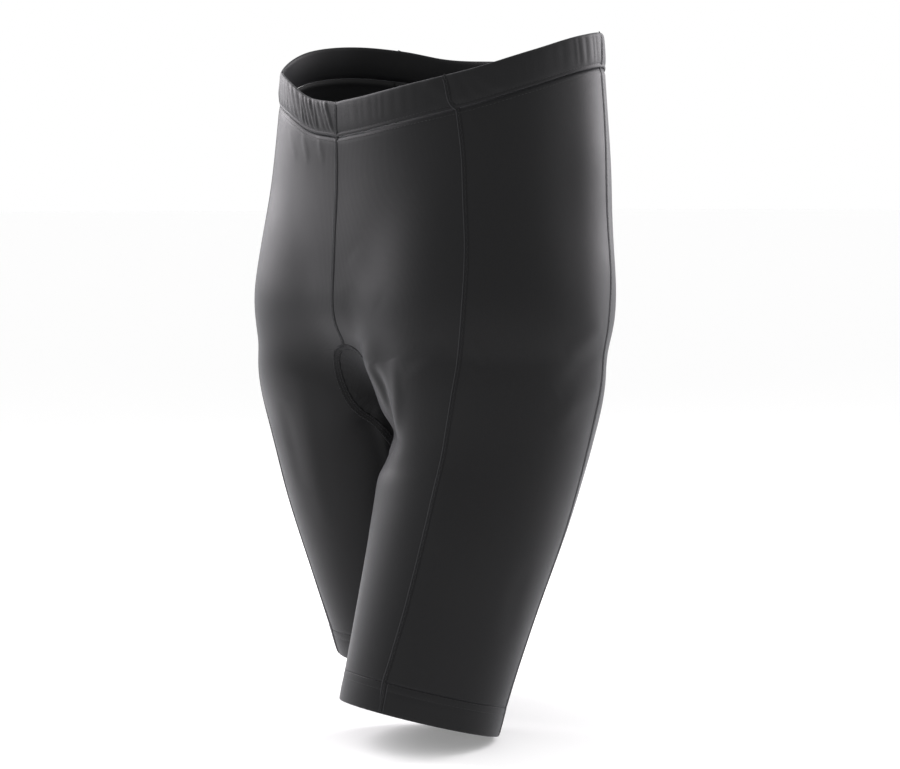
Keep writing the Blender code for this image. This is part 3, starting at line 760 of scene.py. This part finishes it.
def gather_rises(at, outside, backing, table, seed):
    """How far each turn of the band stands out at each row of its profile."""
    uneven = np.random.default_rng(seed)
    rises = np.zeros((len(at), len(outside) + len(backing)))
    depths = np.array([row[0] for row in outside])
    share = np.clip(depths / GATHER_RISES_OVER, 0.0, 1.0)
    share *= np.clip((GATHER_ENDS - depths) / GATHER_FADES_OVER, 0.0, 1.0)
    for sign, stretches in table.items():
        for start, end, count, rise, lean in stretches:
            steps = uneven.uniform(*GATHER_WIDTHS, count)
            edges = start + (end - start) * np.concatenate([[0.0], np.cumsum(steps)]) / steps.sum()
            for first, last in zip(edges[:-1], edges[1:]):
                middle, half = (first + last) / 2, (last - first) / 2
                height = rise * uneven.uniform(*GATHER_HEIGHTS)
                bend = lean * uneven.uniform(*GATHER_LEANS)
                for row, depth in enumerate(depths):
                    leaned = bend * (depth / GATHER_LEANS_OVER - 0.5)
                    turned = np.degrees(at) * sign - middle - leaned
                    form = np.clip(1 - (turned / (half * GATHER_OVERLAP))**2, 0.0, 1.0)**2
                    rises[:, row] += form * height / 1000 * share[row]
    return rises


GATHER_SEED = 11
loops = corner_loops("waistband")
rims = sorted(loops[:2], key=ring_size)
edges = sorted(loops[2:], key=ring_size)
at, band_top = round_loop(rims[0], (0.0, 0.0), BAND_TURNS)
band_bottom = round_loop(edges[0], (0.0, 0.0), BAND_TURNS)[1]
rises = gather_rises(at, BAND_OUTSIDE, BAND_BACKING, BAND_GATHERS, GATHER_SEED)
band_knit = knit("band_knit", (0.0068, 0.0068, 0.0075), 0.50, 0.00014, 0.10)
waistband, band_out, band_face = ring_piece(
    "waistband_casing", band_top, band_bottom, BAND_OUTSIDE, BAND_BACKING, BAND_INSIDE, rises)
waistband.data.materials.append(band_knit)
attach(waistband, "root")
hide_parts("waistband")

# The hems.
# The end of each leg, turned up once inside, so it is two layers of the same knit, and held by
# twin-needle stitching near its raw edge. Its outside swells a little between the rows.
HEM_TURNS = 300
HEM_INSIDE = 0.0017
HEM_OUTSIDE = (
    (-0.4, -0.25), (0.4, 0.05), (1.0, 0.0), (2.0, 0.15), (3.5, 0.22), (5.2, 0.10), (6.0, 0.02),
    (7.0, 0.18), (10.0, 0.30), (15.0, 0.32), (20.0, 0.30), (22.0, 0.20), (22.8, -0.10),
    (23.0, -0.60),
)
HEM_BACKING = ((22.8, -1.2), (22.0, -1.6), (15.0, -1.7), (6.0, -1.7), (0.5, -1.4))

hem_knit = knit("hem_knit", (0.0064, 0.0064, 0.0070), 0.48, 0.00012, 0.10)
hems = {}
for side in ("left", "right"):
    loops = corner_loops("hem_" + side)
    tops = sorted(loops[:2], key=ring_size)
    ends = sorted(loops[2:], key=ring_size)
    hem_top = round_loop(tops[0], tops[0].mean(0), HEM_TURNS)[1]
    hem_end = round_loop(ends[0], ends[0].mean(0), HEM_TURNS)[1]
    rises = np.zeros((HEM_TURNS, len(HEM_OUTSIDE) + len(HEM_BACKING)))
    piece, out, face = ring_piece("hem_" + side + "_turnup", hem_top, hem_end,
                                  HEM_OUTSIDE, HEM_BACKING, HEM_INSIDE, rises)
    piece.data.materials.append(hem_knit)
    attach(piece, "root")
    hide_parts("hem_" + side)
    hems[side] = (face, out)


# The flat seams.
# The panels meet edge to edge in flat overlocked seams: a band of dull thread over the join, with
# the edge of one panel standing up beside it, coloured paler than the knit as a painted highlight
# along it. The seams run through the waistband and the hems. Round the gusset the band is twice as
# wide.
TAPE_STEP = 0.0016
# Across the seam and up from the cloth, in mm.
SEAM_TAPE = ((-1.75, -0.35), (-1.65, 0.12), (-1.25, 0.30), (-0.5, 0.22), (0.3, 0.26),
             (1.1, 0.24), (1.6, 0.08), (1.75, -0.35))
GUSSET_TAPE = ((-3.3, -0.50), (-3.15, 0.18), (-2.5, 0.42), (-1.7, 0.22), (-0.8, 0.34), (0.0, 0.36),
               (0.8, 0.34), (1.7, 0.22), (2.5, 0.42), (3.15, 0.18), (3.3, -0.50))
# The folded edge of the panel nearer the front, on the right of the seam or its left.
PANEL_EDGE = ((-2.35, -0.40), (-2.28, 0.16), (-2.05, 0.36), (-1.75, 0.34), (-1.58, 0.10), (-1.5, -0.35))
# How far each seam has slid towards the front by the time it reaches the rim.
SLIDE_AT_RIM = {
    "front_left-front_right": 0.003,
    "front_left-side_left": 0.008,
    "front_right-side_right": 0.008,
    "back_left-side_left": -0.003,
    "back_right-side_right": -0.003,
}


LINE_ROUNDS = 3


def even_line(points, out, closed, step):
    """The same line with its points evenly spaced, and its directions along, across and out."""
    if closed:
        points = np.concatenate([points, points[:1]])
        out = np.concatenate([out, out[:1]])
    travelled = np.concatenate([[0.0], np.cumsum(np.linalg.norm(np.diff(points, axis=0), axis=1))])
    count = max(int(round(travelled[-1] / step)), 2)
    at = np.linspace(0.0, travelled[-1], count + 1)
    line = np.stack([np.interp(at, travelled, points[:, k]) for k in range(3)], -1)
    normal = np.stack([np.interp(at, travelled, out[:, k]) for k in range(3)], -1)
    if closed:
        line, normal = line[:-1], normal[:-1]
    for _ in range(LINE_ROUNDS):
        for values in (line, normal):
            smooth = (np.roll(values, 1, axis=0) + 2 * values + np.roll(values, -1, axis=0)) / 4
            if closed:
                values[:] = smooth
            else:
                values[1:-1] = smooth[1:-1]
    along = np.roll(line, -1, axis=0) - np.roll(line, 1, axis=0)
    if not closed:
        along[0] = line[1] - line[0]
        along[-1] = line[-1] - line[-2]
    along /= np.linalg.norm(along, axis=1)[:, None]
    across = np.cross(normal, along)
    across /= np.linalg.norm(across, axis=1)[:, None]
    normal = np.cross(along, across)
    return line, along, across, normal


TAPE_SMOOTH = math.radians(60.0)


def lay_tape(name, frame_lines, profile, closed):
    """A strip with the given profile along a line, its underside sunk in the cloth."""
    line, across, normal = frame_lines[0], frame_lines[2], frame_lines[3]
    count, width = len(line), len(profile)
    bpy.ops.mesh.primitive_grid_add(x_subdivisions=width, y_subdivisions=count - (not closed))
    piece = bpy.context.active_object
    piece.name = name
    places = np.stack([line + across * x / 1000 + normal * up / 1000 for x, up in profile], axis=1)
    if closed:
        places = np.concatenate([places, places[:1]])
    places = np.concatenate([places, places[:, :1]], axis=1)
    move_to(piece.data, places.reshape(-1, 3))
    rows = len(places)
    step = np.linalg.norm(line[1] - line[0])
    add_grain(piece, np.tile([x / 1000 for x, up in profile] + [profile[0][0] / 1000], rows),
              np.repeat(np.arange(rows) * step, width + 1))
    only(piece)
    bpy.ops.object.mode_set(mode="EDIT")
    bpy.ops.mesh.select_all(action="SELECT")
    bpy.ops.mesh.remove_doubles(threshold=WELDED_WITHIN)
    bpy.ops.mesh.fill_holes(sides=0)
    bpy.ops.mesh.normals_make_consistent(inside=False)
    bpy.ops.object.mode_set(mode="OBJECT")
    bpy.ops.object.shade_smooth_by_angle(angle=TAPE_SMOOTH)
    return piece


def on_ring(face, out, place, slide, downward):
    """A line across a ring of cloth from one of its edges to the other, starting next to a place."""
    turns = face.shape[1]
    ring = face[len(face) // 2]
    start = int(np.argmin(np.linalg.norm(ring[:, :2] - place[:2], axis=1)))
    step = np.linalg.norm(ring[1] - ring[0])
    rows = range(len(face)) if downward else range(len(face) - 1, -1, -1)
    share = np.linspace(0.0, 1.0, len(face))
    picked = []
    for number, row in enumerate(rows):
        at = start + slide / step * share[number]
        low = int(np.floor(at))
        blend = at - low
        picked.append((face[row, low % turns] * (1 - blend) + face[row, (low + 1) % turns] * blend,
                       out[low % turns]))
    return np.array([p[0] for p in picked]), np.array([p[1] for p in picked])


# A seam that starts above the one height runs on up the band, and one that ends below the other
# runs on down the hem.
TO_BAND = -0.10
TO_HEM = -0.38
whole_seams = {}
for key, (line, out, closed) in seams.items():
    if key.startswith(("waist", "hem", "gusset")):
        continue
    side = -1.0 if line[:, 0].mean() > 0 else 1.0
    if line[0][2] > TO_BAND:
        above, above_out = on_ring(band_face, band_out, line[0],
                                   side * SLIDE_AT_RIM.get(key, 0.0), False)
        line = np.concatenate([above[:0:-1], line])
        out = np.concatenate([above_out[:0:-1], out])
    if line[-1][2] < TO_HEM:
        face, ring_out = hems["left" if line[-1][0] > 0 else "right"]
        below, below_out = on_ring(face[::-1], ring_out, line[-1], 0.0, True)
        line = np.concatenate([line, below[1:]])
        out = np.concatenate([out, below_out[1:]])
    whole_seams[key] = (line, out)

seam_knit = knit("seam_knit", (0.0050, 0.0050, 0.0056), 0.66, 0.00025, 0.2)
# The raised panel edge is the panels' own knit, coloured four times paler as a painted highlight where
# it catches the light.
edge_knit = knit("edge_knit", (0.0260, 0.0260, 0.0280), 0.42, 0.00010, 0.15)
thread = bpy.data.materials.new("seam_thread")
thread.use_nodes = True
strand = thread.node_tree.nodes["Principled BSDF"]
strand.inputs["Specular IOR Level"].default_value = 0.25
strand.inputs["Sheen Weight"].default_value = 0.1
twist_place = thread.node_tree.nodes.new("ShaderNodeTexCoord")
twist = thread.node_tree.nodes.new("ShaderNodeTexNoise")
twist.inputs["Scale"].default_value = 1400.0
thread.node_tree.links.new(twist_place.outputs["Object"], twist.inputs["Vector"])
shade = thread.node_tree.nodes.new("ShaderNodeMix")
shade.data_type = "RGBA"
shade.inputs["A"].default_value = (0.006, 0.006, 0.0066, 1.0)
shade.inputs["B"].default_value = (0.022, 0.022, 0.024, 1.0)
thread.node_tree.links.new(twist.outputs["Fac"], shade.inputs["Factor"])
thread.node_tree.links.new(shade.outputs["Result"], strand.inputs["Base Color"])
strand.inputs["Roughness"].default_value = 0.5


def sew(name, frame_lines, stitches, closed=False):
    """One joined piece of stitches along a line. Each row of stitches has its place across the
    seam and up from the cloth in mm, its length and radius in mm, how many steps of the line
    apart the stitches are, and how far each is turned from the line, in degrees."""
    line, along, across, normal = frame_lines
    bpy.ops.mesh.primitive_uv_sphere_add(segments=6, ring_count=4, radius=1.0)
    model = bpy.context.active_object
    shape = coordinates(model.data)
    faces = [tuple(face.vertices) for face in model.data.polygons]
    bpy.data.objects.remove(model)
    spots, corners = [], []
    for aside, up, length, radius, pitch, turned in stitches:
        spread = np.radians(turned)
        for number, k in enumerate(np.arange(pitch / 2, len(line) - 1, pitch)):
            low = int(k)
            blend = k - low
            centre = line[low] * (1 - blend) + line[low + 1] * blend
            lean = spread if number % 2 == 0 else -spread
            forward = along[low] * math.cos(lean) + across[low] * math.sin(lean)
            sideways = across[low] * math.cos(lean) - along[low] * math.sin(lean)
            centre = centre + across[low] * aside / 1000 + normal[low] * up / 1000
            turned_shape = (shape[:, 2:3] * forward * length / 2000
                            + shape[:, 0:1] * sideways * radius / 1000
                            + shape[:, 1:2] * normal[low] * radius / 1000)
            corners += [tuple(v + len(spots) * len(shape) for v in face) for face in faces]
            spots.append(centre + turned_shape)
    mesh = bpy.data.meshes.new(name)
    mesh.from_pydata(np.concatenate(spots).tolist(), [], corners)
    piece = bpy.data.objects.new(name, mesh)
    bpy.context.scene.collection.objects.link(piece)
    only(piece)
    bpy.ops.object.shade_smooth()
    piece.data.materials.append(thread)
    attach(piece, "root")
    return piece


# Cover stitches lie slantwise across a seam, one way and then the other.
COVER_STITCHES = ((0.0, 0.30, 2.5, 0.17, 1.3, 38.0),)
GUSSET_STITCHES = (
    (-2.1, 0.42, 2.0, 0.20, 1.3, 48.0), (2.1, 0.42, 2.0, 0.20, 1.3, 48.0),
    (0.0, 0.42, 2.0, 0.17, 1.8, 0.0),
)
for key, (line, out) in whole_seams.items():
    lines = even_line(line, out, False, TAPE_STEP)
    short = key.replace("-", "_to_")
    tape = lay_tape("seam_" + short, lines, SEAM_TAPE, False)
    tape.data.materials.append(seam_knit)
    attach(tape, "root")
    sew("stitches_" + short, lines, COVER_STITCHES)
    turned = -1.0 if key.endswith("right") and key != "front_left-front_right" else 1.0
    # Each seam's raised panel edge, in the paler material that paints a highlight along it.
    edge = [(x * turned, up) for x, up in PANEL_EDGE]
    edging = lay_tape("panel_edge_" + short, lines, edge, False)
    edging.data.materials.append(edge_knit)
    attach(edging, "root")

line, out, closed = seams["gusset"]
gusset_lines = even_line(line, out, True, TAPE_STEP)
tape = lay_tape("seam_round_gusset", gusset_lines, GUSSET_TAPE, True)
tape.data.materials.append(seam_knit)
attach(tape, "root")
sew("stitches_round_gusset", gusset_lines, GUSSET_STITCHES)

# The twin-needle rows.
# Two rows of lockstitch 5 mm apart hold the waistband's casing, one on its edge and one on the
# panels below it, and two hold each hem.
ROW_STITCHES = ((0.0, 0.02, 2.3, 0.17, 2.0, 0.0),)
BAND_ROW = 23.9
BELOW_BAND = 0.0046
HEM_ROWS = (17.8, 22.6)


HEM_DEEP = 23.0


def row_on_ring(face, profile, depth):
    """A line all the way round a ring of cloth, at a depth in its profile."""
    depths = [row[0] for row in profile]
    low = max(k for k, value in enumerate(depths) if value <= depth)
    low = min(low, len(depths) - 2)
    blend = (depth - depths[low]) / (depths[low + 1] - depths[low])
    return face[low] * (1 - blend) + face[low + 1] * blend


line = row_on_ring(band_face, BAND_OUTSIDE, BAND_ROW)
sew("stitches_band_upper", even_line(line, band_out, True, TAPE_STEP), ROW_STITCHES)
line, out, closed = seams["waist"]
lines = even_line(line, out, True, TAPE_STEP)
lower = np.where(lines[2][:, 2:3] > 0, -1.0, 1.0) * lines[2]
line = lines[0] + lower * BELOW_BAND
sew("stitches_band_lower", even_line(line, lines[3], True, TAPE_STEP), ROW_STITCHES)
for side, (face, ring_out) in hems.items():
    for number, depth in enumerate(HEM_ROWS):
        line = row_on_ring(face, HEM_OUTSIDE, HEM_DEEP - depth)
        sew("stitches_hem_" + side + "_" + str(number + 1),
            even_line(line, ring_out, True, TAPE_STEP), ROW_STITCHES)
